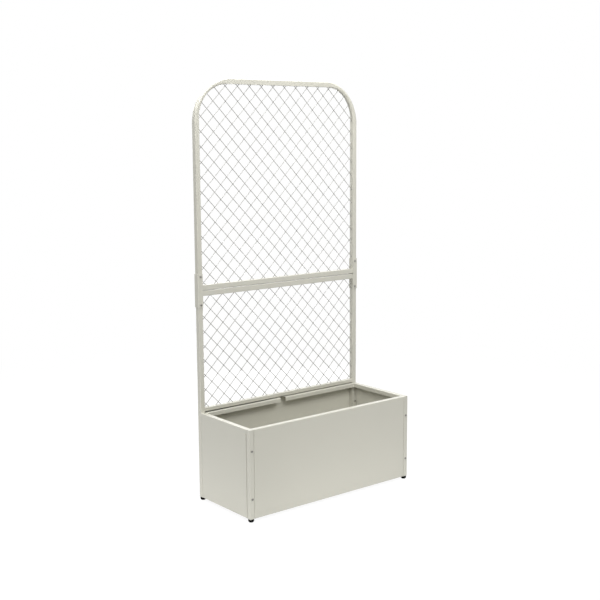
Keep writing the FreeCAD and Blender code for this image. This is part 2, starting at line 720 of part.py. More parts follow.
def four_rivet_nuts(label):
    """Flanged threaded bushes set in the tubes' front walls, their flanges on the outside."""
    body = new_body(label)
    body_radius = "sizes.rivet_nut_diameter / 2"
    flange_radius = "sizes.rivet_flange_diameter / 2"
    revolve(body, add_outline(new_sketch(body, "XY_Plane"), [
        (THREAD_RADIUS, "-sizes.sleeve_clearance"),
        (flange_radius, "-sizes.sleeve_clearance"),
        (flange_radius, "0"),
        (body_radius, "0"),
        (body_radius, "sizes.rivet_nut_length"),
        (THREAD_RADIUS, "sizes.rivet_nut_length"),
    ]))
    repeat_corners(body, SLEEVE_SCREW_SPACING)
    return body


for end_name, end in ENDS:
    # The back set is turned round, so that its heads are at the back as well.
    turn = 180 if end_name == "back" else 0
    x = f"{end} * {TUBE_X}"
    screws = four_screws(
        f"{end_name}_corner_screws", "sizes.corner_screw_length", CORNER_SCREW_SPACING
    )
    nuts = four_nuts(f"{end_name}_corner_nuts")
    flange = f"({INSIDE_Y} - sizes.sheet_thickness)"
    for piece, y in ((screws, HALF_DEPTH), (nuts, flange)):
        place(piece, x, f"{end} * {y}", "sizes.corner_screw_low", Vector(0, 0, 1), turn)

lowest_sleeve_screw = "sizes.joint_height - sizes.sleeve_length / 2 + sizes.sleeve_screw_inset"
sleeve_face = f"({INSIDE_Y} - sizes.sleeve_clearance - sizes.sleeve_thickness)"
sleeve_screws = four_screws("sleeve_screws", "sizes.sleeve_screw_length", SLEEVE_SCREW_SPACING)
place(sleeve_screws, f"-{TUBE_X}", sleeve_face, lowest_sleeve_screw)
rivet_nuts = four_rivet_nuts("sleeve_rivet_nuts")
place(rivet_nuts, f"-{TUBE_X}", INSIDE_Y, lowest_sleeve_screw)


# ---------------------------------------------------------------------------------------
# Screw-in feet
# ---------------------------------------------------------------------------------------
def foot(name, x, y):
    """Threaded insert in the end of a tube, and the pad and stud that turn in it."""
    insert = new_body(f"{name}_foot_insert")
    half = f"({HALF_TUBE} - sizes.tube_wall - sizes.insert_gap)"
    section = add_rounded_square(new_sketch(insert, "XY_Plane"), half, "sizes.tube_corner / 2")
    add_circle(section, "0", "0", "sizes.stud_diameter / 2")
    pad(insert, section, "sizes.insert_length")
    place(insert, x, y, "sizes.foot_height")

    stud = new_body(f"{name}_foot_stud")
    stud_radius = "(sizes.stud_diameter / 2 - sizes.thread_gap)"
    pad(stud, add_circle(new_sketch(stud, "XY_Plane"), "0", "0", stud_radius), "sizes.stud_length")
    place(stud, x, y, "sizes.stud_seat")

    pad_body = new_body(f"{name}_foot_pad")
    base_radius = "sizes.foot_base_diameter / 2"
    pad_radius = "sizes.foot_diameter / 2"
    revolve(pad_body, add_outline(new_sketch(pad_body, "XZ_Plane"), [
        ("0", "0"),
        (base_radius, "0"),
        (pad_radius, "sizes.foot_taper"),
        (pad_radius, "sizes.foot_height"),
        (stud_radius, "sizes.foot_height"),
        (stud_radius, "sizes.stud_seat"),
        ("0", "sizes.stud_seat"),
    ]))
    place(pad_body, x, y)


for end_name, end in ENDS:
    for side_name, side in SIDES:
        foot(f"{end_name}_{side_name}", f"{side} * {TUBE_X}", f"{end} * {TUBE_Y}")


# ---------------------------------------------------------------------------------------
# Check every object, then write one file for each piece
# ---------------------------------------------------------------------------------------
doc.recompute()
for thing in doc.Objects:
    if "Invalid" in thing.State or "Error" in thing.State:
        raise RuntimeError(f"{thing.Label} failed: {thing.State}")
for node in nodes:
    if node.Shape.isNull() or not node.Shape.isValid() or not node.Shape.Solids:
        raise RuntimeError(f"{node.Label} has no valid solid")

os.makedirs("parts", exist_ok=True)
for node in nodes:
    node.Shape.exportStep(f"parts/{node.Label}.step")
    print(f"{node.Label}: {len(node.Shape.Solids)} solids, {node.Shape.Volume:.0f} mm3")
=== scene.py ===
import math

import bmesh
import bpy
from mathutils import Matrix, Vector


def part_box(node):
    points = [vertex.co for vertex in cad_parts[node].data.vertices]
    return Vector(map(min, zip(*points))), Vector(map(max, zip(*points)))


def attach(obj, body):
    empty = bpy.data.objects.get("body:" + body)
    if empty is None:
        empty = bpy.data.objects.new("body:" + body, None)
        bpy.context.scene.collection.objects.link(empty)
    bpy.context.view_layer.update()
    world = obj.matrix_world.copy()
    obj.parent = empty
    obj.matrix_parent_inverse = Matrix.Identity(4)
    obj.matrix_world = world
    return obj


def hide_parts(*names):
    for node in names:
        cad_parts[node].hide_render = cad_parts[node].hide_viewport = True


# A sheet-metal planter box on four screw-in feet, with a two-part mesh trellis standing on its
# back edge.  Metres.  X is the width, +Y the back and +Z up, and the origin lies on the ground
# below the middle of the box.
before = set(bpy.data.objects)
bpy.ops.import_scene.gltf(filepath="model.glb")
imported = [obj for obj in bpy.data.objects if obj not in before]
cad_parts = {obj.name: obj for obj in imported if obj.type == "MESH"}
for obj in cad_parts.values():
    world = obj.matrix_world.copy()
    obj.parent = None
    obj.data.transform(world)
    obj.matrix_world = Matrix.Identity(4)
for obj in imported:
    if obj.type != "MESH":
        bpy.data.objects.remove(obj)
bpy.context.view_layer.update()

# ---------------------------------------------------------------------------------------
# Front corner posts
#
# Square steel tube with a 1.2 mm wall, cut square at the foot and standing in the front
# corners of the box.  It is coated like the whole frame, in a warm light grey satin powder.
# ---------------------------------------------------------------------------------------
TUBE = 0.020
TUBE_WALL = 0.0012
TUBE_CORNER = 0.002
TUBE_EASE = 0.0003
SHARP_ANGLE = math.radians(50)
COAT_DARK = (0.515, 0.505, 0.437, 1)
COAT_LIGHT = (0.590, 0.578, 0.502, 1)


class Shade:
    """A value in a material; arithmetic on it adds the Math nodes that work it out."""

    def __init__(self, tree, socket=None):
        self.tree = tree
        self.socket = socket

    def node(self, kind, settings=(), sockets=(), output=0):
        """Add a node, its settings first and then a value or a link for each socket."""
        made = self.tree.nodes.new(f"ShaderNode{kind}")
        for name, setting in dict(settings).items():
            setattr(made, name, setting)
        for name, value in dict(sockets).items():
            if isinstance(value, Shade):
                self.tree.links.new(value.socket, made.inputs[name])
            else:
                made.inputs[name].default_value = value
        return Shade(self.tree, made.outputs[output] if made.outputs else None)

    def math(self, operation, *values):
        return self.node("Math", {"operation": operation}, enumerate(values))

    def __add__(self, other):
        return self.math("ADD", self, other)

    def __radd__(self, other):
        return self.math("ADD", other, self)

    def __mul__(self, other):
        return self.math("MULTIPLY", self, other)

    def __rmul__(self, other):
        return self.math("MULTIPLY", other, self)


def start_material(name):
    """An empty material, and a value to start its nodes from."""
    material = bpy.data.materials.new(name)
    material.use_nodes = True
    material.node_tree.nodes.clear()
    return material, Shade(material.node_tree)


def powder_coat(name, drift_scale, dark=COAT_DARK, light=COAT_LIGHT):
    """Satin powder coat: a fine orange peel, and a tone that drifts a little over a piece."""
    material, start = start_material(name)
    place = start.node("TexCoord", output="Object")
    drift = start.node("TexNoise", sockets={"Vector": place, "Scale": drift_scale, "Detail": 3})
    speck = start.node("TexNoise", sockets={"Vector": place, "Scale": 1400, "Detail": 1})
    peel = start.node("TexNoise", sockets={"Vector": place, "Scale": 420, "Detail": 3})
    tone = 0.6 * drift + 0.4 * speck
    colour = start.node(
        "Mix", {"data_type": "RGBA"}, {0: tone, 6: dark, 7: light}, output=2
    )
    bump = start.node("Bump", sockets={"Strength": 0.35, "Distance": 0.00005, "Height": peel})
    coat = start.node("BsdfPrincipled", sockets={
        "Base Color": colour,
        "Roughness": 0.24 + 0.12 * drift,
        "IOR": 1.5,
        "Coat Weight": 0.6,
        "Coat Roughness": 0.14,
        "Normal": bump,
    })
    start.node("OutputMaterial", sockets={"Surface": coat})
    return material


def rounded_outline(half_x, half_y, radius, steps=5):
    """Points round a rectangle with rounded corners."""
    points = []
    for turn, (x, y) in enumerate(((1, 1), (-1, 1), (-1, -1), (1, -1))):
        for step in range(steps + 1):
            angle = math.radians(90 * (turn + step / steps))
            points.append((
                x * (half_x - radius) + radius * math.cos(angle),
                y * (half_y - radius) + radius * math.sin(angle),
            ))
    return points


def loft(bm, loops, closed=False):
    """Skin a row of loops; an open row gets a flat face at either end."""
    rings = [[bm.verts.new(point) for point in loop] for loop in loops]
    made = [] if closed else [bm.faces.new(rings[0]), bm.faces.new(rings[-1])]
    for ring, following in zip(rings, rings[1:] + rings[:1] if closed else rings[1:]):
        for corner in range(len(ring)):
            made.append(bm.faces.new(
                (ring[corner - 1], ring[corner], following[corner], following[corner - 1])
            ))
    bmesh.ops.recalc_face_normals(bm, faces=made)


def hollow_tube(bm, stations, depth=TUBE):
    """Tube through stations: the middle, the directions across and deep, the corner radius."""
    def section(inset, middle, across, deep, corner=TUBE_CORNER):
        outline = rounded_outline(TUBE / 2 - inset, depth / 2 - inset, corner - inset)
        return [middle + across * x + deep * y for x, y in outline]

    foot, *foot_turn = stations[0]
    top, *top_turn = stations[-1]
    ahead = (stations[1][0] - foot).normalized() * TUBE_EASE
    back = (stations[-2][0] - top).normalized() * TUBE_EASE
    loft(bm, [
        section(TUBE_EASE, foot, *foot_turn),
        section(0, foot + ahead, *foot_turn),
        *(section(0, *station) for station in stations[1:-1]),
        section(0, top + back, *top_turn),
        section(TUBE_EASE, top, *top_turn),
        *(section(TUBE_WALL, *station) for station in reversed(stations)),
    ], closed=True)


def upright_tube(bm, node):
    """Tube standing where a node stands."""
    low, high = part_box(node)
    middle = (low + high) / 2
    hollow_tube(bm, [
        (Vector((middle.x, middle.y, z)), Vector((1, 0, 0)), Vector((0, 1, 0)))
        for z in (low.z, high.z)
    ])


def build(name, bm, material, modifiers=()):
    """Make a piece of the worked mesh, with smooth folds between flat faces."""
    mesh = bpy.data.meshes.new(name)
    bm.to_mesh(mesh)
    bm.free()
    mesh.shade_smooth()
    mesh.set_sharp_from_angle(angle=SHARP_ANGLE)
    mesh.materials.append(material)
    piece = bpy.data.objects.new(name, mesh)
    bpy.context.scene.collection.objects.link(piece)
    for kind, settings in (*modifiers, ("WEIGHTED_NORMAL", {"keep_sharp": True})):
        modifier = piece.modifiers.new(kind.lower(), kind)
        for setting, value in settings.items():
            setattr(modifier, setting, value)
    return piece


frame_coat = powder_coat("frame_coat", drift_scale=6)
for side in ("left", "right"):
    node = f"front_{side}_post"
    bm = bmesh.new()
    upright_tube(bm, node)
    post = build(f"{node}_tube", bm, frame_coat)
    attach(post, "planter")
    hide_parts(node)

# ---------------------------------------------------------------------------------------
# Post caps
#
# A plate of 1.5 mm steel welded on each front post and ground flush with its sides, level
# with the rims of the panels.
# ---------------------------------------------------------------------------------------
CAP_EDGE = 0.0006
CAP_STEPS = 4

for side in ("left", "right"):
    node = f"front_{side}_post_cap"
    low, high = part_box(node)
    middle = (low + high) / 2
    bm = bmesh.new()
    edge = [math.radians(90 * step / CAP_STEPS) for step in range(CAP_STEPS + 1)]
    levels = [(low.z, 0)] + [
        (high.z - CAP_EDGE * (1 - math.sin(angle)), CAP_EDGE * (1 - math.cos(angle)))
        for angle in edge
    ]
    loft(bm, [
        [
            (middle.x + x, middle.y + y, z)
            for x, y in rounded_outline(TUBE / 2 - inset, TUBE / 2 - inset, TUBE_CORNER - inset)
        ]
        for z, inset in levels
    ])
    cap = build(f"{node}_plate", bm, frame_coat)
    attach(cap, "planter")
    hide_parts(node)

# ---------------------------------------------------------------------------------------
# Uprights
#
# The back corner posts, of the same tube, which run on up past the box and carry the lower
# trellis frame.  They end open inside the joint sleeves.
# ---------------------------------------------------------------------------------------
for side in ("left", "right"):
    node = f"{side}_upright"
    bm = bmesh.new()
    upright_tube(bm, node)
    upright = build(f"{node}_tube", bm, frame_coat)
    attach(upright, "planter")
    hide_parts(node)

# ---------------------------------------------------------------------------------------
# Trellis rails
#
# Lengths of tube laid between the two sides of each trellis frame: the lowest is 15 mm high,
# the others are square.  Their ends are welded all round, which fills the groove beside the
# rounded edge of the upright, and the lowest is welded along its back to the box rim below it.
# ---------------------------------------------------------------------------------------
BEAD_RADIUS = 0.0013
BEAD_INSET = 0.0010
BEAD_REACH = 0.0004
BEAD_RIPPLE = 0.0017
BEAD_SWELL = 0.06
BEAD_SIDES = 8
BACK_BEAD_RADIUS = 0.0022
BACK_BEAD_RIPPLE = 0.0040
BACK_BEAD_SWELL = 0.05
BACK_BEAD_SIDES = 10
RIPPLE_STEPS = 4


def evenly(outline, spacing):
    """Points at an even spacing along a closed outline."""
    corners = [Vector(point) for point in outline]
    points = []
    left_over = 0.0
    for start, end in zip(corners, corners[1:] + corners[:1]):
        length = (end - start).length
        along = left_over
        while along < length:
            points.append(start.lerp(end, along / length))
            along += spacing
        left_over = along - length
    return points


def weld_bead(bm, middle, height):
    """Rippled bead round the end of a rail, in the plane across the rail at its middle."""
    corner = TUBE_CORNER - BEAD_INSET / 2
    outline = rounded_outline(TUBE / 2 - BEAD_INSET, height / 2 - BEAD_INSET, corner)
    path = evenly(outline, BEAD_RIPPLE / RIPPLE_STEPS)
    rings = []
    for number, point in enumerate(path):
        ahead = path[(number + 1) % len(path)] - path[number - 1]
        outward = Vector((0, ahead.y, -ahead.x)).normalized()
        wave = BEAD_SWELL * math.cos(math.tau * number / RIPPLE_STEPS)
        swell = BEAD_RADIUS * (1 - BEAD_SWELL + wave)
        rings.append([
            middle + Vector((0, point.x, point.y))
            + swell * (outward * math.cos(angle) + Vector((1, 0, 0)) * math.sin(angle))
            for angle in (math.tau * step / BEAD_SIDES for step in range(BEAD_SIDES))
        ])
    loft(bm, rings, closed=True)


def back_bead(bm, start, end):
    """Rippled bead laid straight along X in the gap under a rail."""
    count = round((end.x - start.x) / BACK_BEAD_RIPPLE * RIPPLE_STEPS)
    rings = []
    for number in range(count + 1):
        wave = BACK_BEAD_SWELL * math.cos(math.tau * number / RIPPLE_STEPS)
        swell = BACK_BEAD_RADIUS * (1 - BACK_BEAD_SWELL + wave)
        rings.append([
            start.lerp(end, number / count)
            + swell * Vector((0, math.cos(angle), math.sin(angle)))
            for angle in (math.tau * step / BACK_BEAD_SIDES for step in range(BACK_BEAD_SIDES))
        ])
    loft(bm, rings)


for node in ("lower_frame_bottom_rail", "lower_frame_top_rail", "upper_frame_bottom_rail"):
    low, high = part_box(node)
    middle = (low + high) / 2
    bm = bmesh.new()
    hollow_tube(bm, [
        (Vector((x, middle.y, middle.z)), Vector((0, 1, 0)), Vector((0, 0, 1)))
        for x in (low.x, high.x)
    ], high.z - low.z)
    for x in (low.x - BEAD_REACH, high.x + BEAD_REACH):
        weld_bead(bm, Vector((x, middle.y, middle.z)), high.z - low.z)
    if node == "lower_frame_bottom_rail":
        back = high.y - BACK_BEAD_RADIUS
        under = (low.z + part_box("back_panel")[1].z) / 2
        back_bead(bm, Vector((low.x, back, under)), Vector((high.x, back, under)))
    rail = build(f"{node}_tube", bm, frame_coat)
    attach(rail, "planter")
    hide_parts(node)

# ---------------------------------------------------------------------------------------
# Arch
#
# One length of the tube bent up, over and down again to a middle radius of 145 mm, which
# rounds its section in the bends.  It stands on the uprights and is the outside of the upper
# trellis frame.
# ---------------------------------------------------------------------------------------
ARCH_RADIUS = 0.145
ARCH_STEPS = 28
BENT_CORNER = 0.009
BENT_POWER = 0.7

low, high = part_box("arch_tube")
deep = Vector((0, 1, 0))
reach = high.x - TUBE / 2
mid_y = (low.y + high.y) / 2
bend_height = high.z - TUBE / 2 - ARCH_RADIUS
stations = [(Vector((-reach, mid_y, low.z)), Vector((-1, 0, 0)), deep)]
for centre_x, first in ((ARCH_RADIUS - reach, 180), (reach - ARCH_RADIUS, 90)):
    for step in range(ARCH_STEPS + 1):
        angle = math.radians(first - 90 * step / ARCH_STEPS)
        outward = Vector((math.cos(angle), 0, math.sin(angle)))
        centre = Vector((centre_x, mid_y, bend_height))
        bent = math.sin(math.pi * step / ARCH_STEPS) ** BENT_POWER
        corner = TUBE_CORNER + (BENT_CORNER - TUBE_CORNER) * bent
        stations.append((centre + outward * ARCH_RADIUS, outward, deep, corner))
stations.append((Vector((reach, mid_y, low.z)), Vector((1, 0, 0)), deep))
bm = bmesh.new()
hollow_tube(bm, stations)
arch = build("arch_bent_tube", bm, frame_coat)
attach(arch, "planter")
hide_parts("arch_tube")

# ---------------------------------------------------------------------------------------
# Box panels
#
# Folded from 1.5 mm steel sheet: a wall with a flange under the floor, a rim with a lip
# turned down inside it, and tabs that lie against the corner tubes.  The folds are rounded
# and end in small reliefs.
# ---------------------------------------------------------------------------------------
SHEET = 0.0015
SHEET_EDGE = 0.0003
FOLD_RADIUS = 0.0025
FOLD_STEPS = 6
FLAT_ANGLE = math.radians(10)
RIM_LIP = 0.017
RELIEF = 0.0025
TAB_TOP = 0.331
TAB_SLIT = 0.0015
SLIT_SHORT = 0.001
FLANGE = 0.030
FLANGE_STEP = TUBE - 0.002
SIDE_FLANGE_SHORT = 0.012
NOTCH_START = -0.019
NOTCH_STOP = 0.007
NOTCH_DEPTH = 0.015
SIDE_SEAM = 0.0027
SEAM = 0.0007

panel_coat = powder_coat("panel_coat", drift_scale=2.2)


def round_folds(bm, radius, wall_faces_out):
    """Turn the outer faces of a sheet the right way out, then round the folds between them."""
    bmesh.ops.remove_doubles(bm, verts=bm.verts, dist=1e-6)
    bmesh.ops.recalc_face_normals(bm, faces=bm.faces)
    wall = max(bm.faces, key=lambda face: face.calc_area())
    if wall.normal.dot(wall_faces_out) < 0:
        bmesh.ops.reverse_faces(bm, faces=bm.faces)
    folds = [
        edge for edge in bm.edges
        if len(edge.link_faces) == 2 and edge.calc_face_angle() > FLAT_ANGLE
    ]
    bmesh.ops.bevel(
        bm, geom=folds, offset=radius, offset_type="OFFSET", segments=FOLD_STEPS,
        profile=0.5, affect="EDGES", clamp_overlap=False,
    )


def panel(bm, place, half, seams, rim, floor_end, notch=None):
    """Outer faces of a panel, as points along it, inward from its wall, and up.

    The rim reaches `rim` inward and is as long as the panel; below it the wall and its tabs
    stop short by the two seams.  Beyond the corner tubes the floor flange ends at `floor_end`.
    """
    low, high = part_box("front_panel")
    foot, top = low.z, high.z

    def face(*corners):
        bm.faces.new([bm.verts.new(place @ Vector(corner)) for corner in corners])

    tabs = (seams[0] - half, half - seams[1])
    folds = (tabs[0] + RELIEF, tabs[1] - RELIEF)
    ends = []
    for way, end, tab, fold in zip((-1, 1), (-half, half), tabs, folds):
        slit = fold - way * SLIT_SHORT
        ends.append([
            (fold, 0, foot), (fold, 0, foot + RELIEF), (tab, 0, foot + RELIEF), (tab, 0, TAB_TOP),
            (slit, 0, TAB_TOP), (slit, 0, TAB_TOP + TAB_SLIT), (end, 0, TAB_TOP + TAB_SLIT),
            (end, 0, top),
        ])
        face(
            (tab, 0, foot + RELIEF), (tab, TUBE, foot + RELIEF), (tab, TUBE, TAB_TOP),
            (tab, 0, TAB_TOP),
        )
    face(*ends[1], *reversed(ends[0]))
    face(
        (folds[0], 0, foot), (folds[1], 0, foot), (folds[1], FLANGE_STEP, foot),
        (floor_end, FLANGE_STEP, foot), (floor_end, FLANGE, foot), (-floor_end, FLANGE, foot),
        (-floor_end, FLANGE_STEP, foot), (folds[0], FLANGE_STEP, foot),
    )
    lips = [(-half, half)]
    if notch:
        start, stop, reach = notch
        inner = rim - reach
        face(
            (-half, 0, top), (-half, rim, top), (start, rim, top), (start, inner, top),
            (start, 0, top),
        )
        face((start, 0, top), (start, inner, top), (stop, inner, top), (stop, 0, top))
        face(
            (stop, 0, top), (stop, inner, top), (stop, rim, top), (half, rim, top),
            (half, 0, top),
        )
        lips = [(-half, start), (stop, half)]
    else:
        face((-half, 0, top), (-half, rim, top), (half, rim, top), (half, 0, top))
    for start, stop in lips:
        face(
            (start, rim, top), (start, rim, top - RIM_LIP), (stop, rim, top - RIM_LIP),
            (stop, rim, top),
        )


low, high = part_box("front_panel")
end_half = high.x
wall_y = -low.y
end_floor = end_half - SEAM - RELIEF
low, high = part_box("left_side_panel")
side_half = high.y
wall_x = -low.x
side_floor = side_half - SIDE_FLANGE_SHORT
back_rim = wall_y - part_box("back_panel")[0].y
back_notch = (-NOTCH_STOP, -NOTCH_START, NOTCH_DEPTH)
for node, turn, out, half, seams, rim, floor_end, notch in (
    ("front_panel", 0, wall_y, end_half, (SEAM, SEAM), TUBE, end_floor, None),
    ("back_panel", 180, wall_y, end_half, (SEAM, SEAM), back_rim, end_floor, back_notch),
    ("left_side_panel", -90, wall_x, side_half, (SEAM, SIDE_SEAM), TUBE, side_floor, None),
    ("right_side_panel", 90, wall_x, side_half, (SIDE_SEAM, SEAM), TUBE, side_floor, None),
):
    turned = Matrix.Rotation(math.radians(turn), 4, "Z")
    bm = bmesh.new()
    panel(bm, turned @ Matrix.Translation((0, -out, 0)), half, seams, rim, floor_end, notch)
    round_folds(bm, FOLD_RADIUS, turned @ Vector((0, -1, 0)))
    sheet = build(f"{node}_sheet", bm, panel_coat, (
        ("SOLIDIFY", {"thickness": SHEET, "offset": -1, "use_even_offset": True}),
        ("BEVEL", {"width": SHEET_EDGE, "segments": 2, "angle_limit": SHARP_ANGLE}),
    ))
    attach(sheet, "planter")
    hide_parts(node)

# ---------------------------------------------------------------------------------------
# Floor tray
#
# A tray of the same sheet with turned-up edges and two rows of punched drain holes.  It is
# coated like the panels and lies loose on their floor flanges.
# ---------------------------------------------------------------------------------------
TRAY_CORNER = 0.006
TRAY_STEPS = 5
DRAIN_RADIUS = 0.006
DRAIN_SIDES = 32
DRAIN_X = (-0.300, -0.150, 0, 0.150, 0.300)
DRAIN_Y = (-0.070, 0.070)


def circle(radius, steps):
    """Points round a circle."""
    return [
        (radius * math.cos(math.tau * step / steps), radius * math.sin(math.tau * step / steps))
        for step in range(steps)
    ]


low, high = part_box("floor_tray")
bm = bmesh.new()
quarter = [math.radians(90 * step / TRAY_STEPS) for step in range(TRAY_STEPS + 1)]
outer = [(high.z, SHEET_EDGE), (high.z - SHEET_EDGE, 0)]
outer += [
    (low.z + FOLD_RADIUS * (1 - math.sin(angle)), FOLD_RADIUS * (1 - math.cos(angle)))
    for angle in quarter
]
bend = FOLD_RADIUS - SHEET
inner = [(high.z, SHEET - SHEET_EDGE), (high.z - SHEET_EDGE, SHEET)]
inner += [
    (low.z + FOLD_RADIUS - bend * math.sin(angle), FOLD_RADIUS - bend * math.cos(angle))
    for angle in quarter
]
rings = []
for z, inset in (*reversed(outer), *inner):
    outline = rounded_outline(high.x - inset, high.y - inset, TRAY_CORNER - inset)
    rings.append([bm.verts.new((x, y, z)) for x, y in outline])
for ring, following in zip(rings, rings[1:]):
    for corner in range(len(ring)):
        bm.faces.new((ring[corner - 1], ring[corner], following[corner], following[corner - 1]))
edge_below = [bm.edges.get((rings[0][n - 1], rings[0][n])) for n in range(len(rings[0]))]
edge_above = [bm.edges.get((rings[-1][n - 1], rings[-1][n])) for n in range(len(rings[-1]))]
for x in DRAIN_X:
    for y in DRAIN_Y:
        below, above = (
            [
                bm.verts.new((x + across, y + along, z))
                for across, along in circle(DRAIN_RADIUS, DRAIN_SIDES)
            ]
            for z in (low.z, low.z + SHEET)
        )
        for n in range(len(below)):
            bm.faces.new((below[n - 1], below[n], above[n], above[n - 1]))
            edge_below.append(bm.edges.get((below[n - 1], below[n])))
            edge_above.append(bm.edges.get((above[n - 1], above[n])))
for edges in (edge_below, edge_above):
    bmesh.ops.triangle_fill(bm, use_beauty=True, use_dissolve=False, edges=edges)
bmesh.ops.recalc_face_normals(bm, faces=bm.faces)
tray = build("floor_tray_sheet", bm, panel_coat)
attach(tray, "planter")
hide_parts("floor_tray")

# ---------------------------------------------------------------------------------------
# Wire mesh
#
# Two layers of 2.5 mm wire at right angles, set diagonally in each trellis frame.  The wires
# are welded to each other where they cross and to the inside of the frame at their ends, and
# the whole is coated with the frame.  The wires' coat colour is set darker than the frame's,
# as painted shade.
# ---------------------------------------------------------------------------------------
WIRE = 0.0025
WIRE_SIDES = 12
MESH_STEP = 0.040 * math.sqrt(2)
MESH_COUNT = 30
END_SPOT = (0.0021, 0.0016, 0.0021)
CROSSING_SPOT = (0.0017, 0.0012, 0.0017)
# darker than the frame coat's tones: painted shade on the thin wires
MESH_SHADED_DARK = (0.285, 0.280, 0.258, 1)
MESH_SHADED_LIGHT = (0.345, 0.340, 0.315, 1)

# a darker copy of the frame coat, as painted shade on the wires
shaded_mesh_coat = powder_coat("shaded_mesh_coat", drift_scale=6, dark=MESH_SHADED_DARK, light=MESH_SHADED_LIGHT)
inside_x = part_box("arch_tube")[1].x - TUBE


def wire_ends(height, slope, bottom, top, corner):
    """Where a diagonal wire that passes x = 0 at a height meets the inside of its frame."""
    left, right = sorted((slope * (bottom - height), slope * (top - height)))
    ends = []
    for x, way in ((max(left, -inside_x), -1), (min(right, inside_x), 1)):
        centre_x = math.copysign(inside_x - corner, x)
        centre_z = top - corner
        if abs(x) > abs(centre_x) and height + slope * x > centre_z:
            aside = (height + slope * centre_x - centre_z) / math.sqrt(2)
            if abs(aside) >= corner:
                return None
            chord = way * math.sqrt((corner ** 2 - aside ** 2) / 2)
            x = centre_x - slope * aside / math.sqrt(2) + chord
        ends.append((x, height + slope * x))
    return ends if ends[1][0] - ends[0][0] > WIRE else None


def weld_spot(bm, x, y, z, size):
    """Small rounded lump of weld metal."""
    placed = Matrix.Translation((x, y, z)) @ Matrix.Diagonal((*size, 1))
    bmesh.ops.create_icosphere(bm, subdivisions=2, radius=1, matrix=placed)


for name, crossing, corner in (("lower", "top", 0), ("upper", "middle", ARCH_RADIUS - TUBE / 2)):
    low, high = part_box(f"{name}_mesh_falling_wires")
    bottom, top = low.z, high.z
    start = top if crossing == "top" else (bottom + top) / 2
    between = high.y
    heights = [start + MESH_STEP * number for number in range(-MESH_COUNT, MESH_COUNT + 1)]
    for layer, slope in (("falling", -1), ("rising", 1)):
        y = between + slope * WIRE / 2
        bm = bmesh.new()
        along = Vector((1, 0, slope)) / math.sqrt(2)
        across = Vector((-slope, 0, 1)) / math.sqrt(2)
        for height in heights:
            ends = wire_ends(height, slope, bottom, top, corner)
            if not ends:
                continue
            # the ends run on into the tube wall, so that no gap shows beside the slanting cut
            loft(bm, [
                [
                    Vector((x, y, z)) + along * way * WIRE / 2 + across * a + Vector((0, b, 0))
                    for a, b in circle(WIRE / 2, WIRE_SIDES)
                ]
                for (x, z), way in zip(ends, (-1, 1))
            ])
            for x, z in ends:
                weld_spot(bm, x, y, z, END_SPOT)
        if layer == "rising":
            for falling in heights:
                for rising in heights:
                    x, z = (falling - rising) / 2, (falling + rising) / 2
                    ends = wire_ends(rising, 1, bottom, top, corner)
                    if ends and ends[0][0] + WIRE < x < ends[1][0] - WIRE:
                        weld_spot(bm, x, between, z, CROSSING_SPOT)
        node = f"{name}_mesh_{layer}_wires"
        wires = build(f"{node}_welded", bm, shaded_mesh_coat)
        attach(wires, "planter")
        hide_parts(node)

# ---------------------------------------------------------------------------------------
# Joint sleeves
#
# A U of 2 mm plate folded round the outside of each joint, where the arch stands on the
# upright.  It is held by one screw in each tube and coated like the frame.
# ---------------------------------------------------------------------------------------
SLEEVE_PLATE = 0.002
SLEEVE_FOLD = 0.003
SLEEVE_EDGE = 0.0004

for side, way in (("left", -1), ("right", 1)):
    node = f"{side}_joint_sleeve"
    low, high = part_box(node)
    mouth, back = (high.x, low.x) if side == "left" else (low.x, high.x)
    bm = bmesh.new()
    outline = [(mouth, low.y), (back, low.y), (back, high.y), (mouth, high.y)]
    for (x, y), (next_x, next_y) in zip(outline, outline[1:]):
        bm.faces.new([
            bm.verts.new(point)
            for point in (
                (x, y, low.z), (next_x, next_y, low.z), (next_x, next_y, high.z), (x, y, high.z),
            )
        ])
    round_folds(bm, SLEEVE_FOLD, Vector((way, 0, 0)))
    sleeve = build(f"{node}_plate", bm, frame_coat, (
        ("SOLIDIFY", {"thickness": SLEEVE_PLATE, "offset": -1, "use_even_offset": True}),
        ("BEVEL", {"width": SLEEVE_EDGE, "segments": 2, "angle_limit": SHARP_ANGLE}),
    ))
    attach(sleeve, "planter")
    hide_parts(node)

# ---------------------------------------------------------------------------------------
# Screws
#
# Domed steel screws with a hexagon socket, M5, left bare: four through the front posts, four
# through the uprights and four in the sleeves.  They are the only fixings that show.
# ---------------------------------------------------------------------------------------
HEAD_RADIUS = 0.0045
HEAD_HEIGHT = 0.0026
HEAD_BAND = 0.0005
HEAD_EASE = 0.0002
HEAD_TOP_RADIUS = 0.0023
HEAD_SIDES = 36
HEAD_STEPS = 6
# half width of the socket and depth below the top, from its bevelled mouth to its bottom
SOCKET_PROFILE = ((0.00175, 0.0001), (0.0015, 0.0004), (0.0015, 0.0016), (0.00045, 0.0019))
SHANK_RADIUS = 0.0022
SHANK_SIDES = 20
THREADED = 0.012
THREAD_CREST = 0.00245
THREAD_ROOT = 0.0020
THREAD_PITCH = 0.0008
THREAD_RUN_IN = 0.0005
THREAD_RUN_OUT = 0.0006
SCREW_POINT = 0.0005


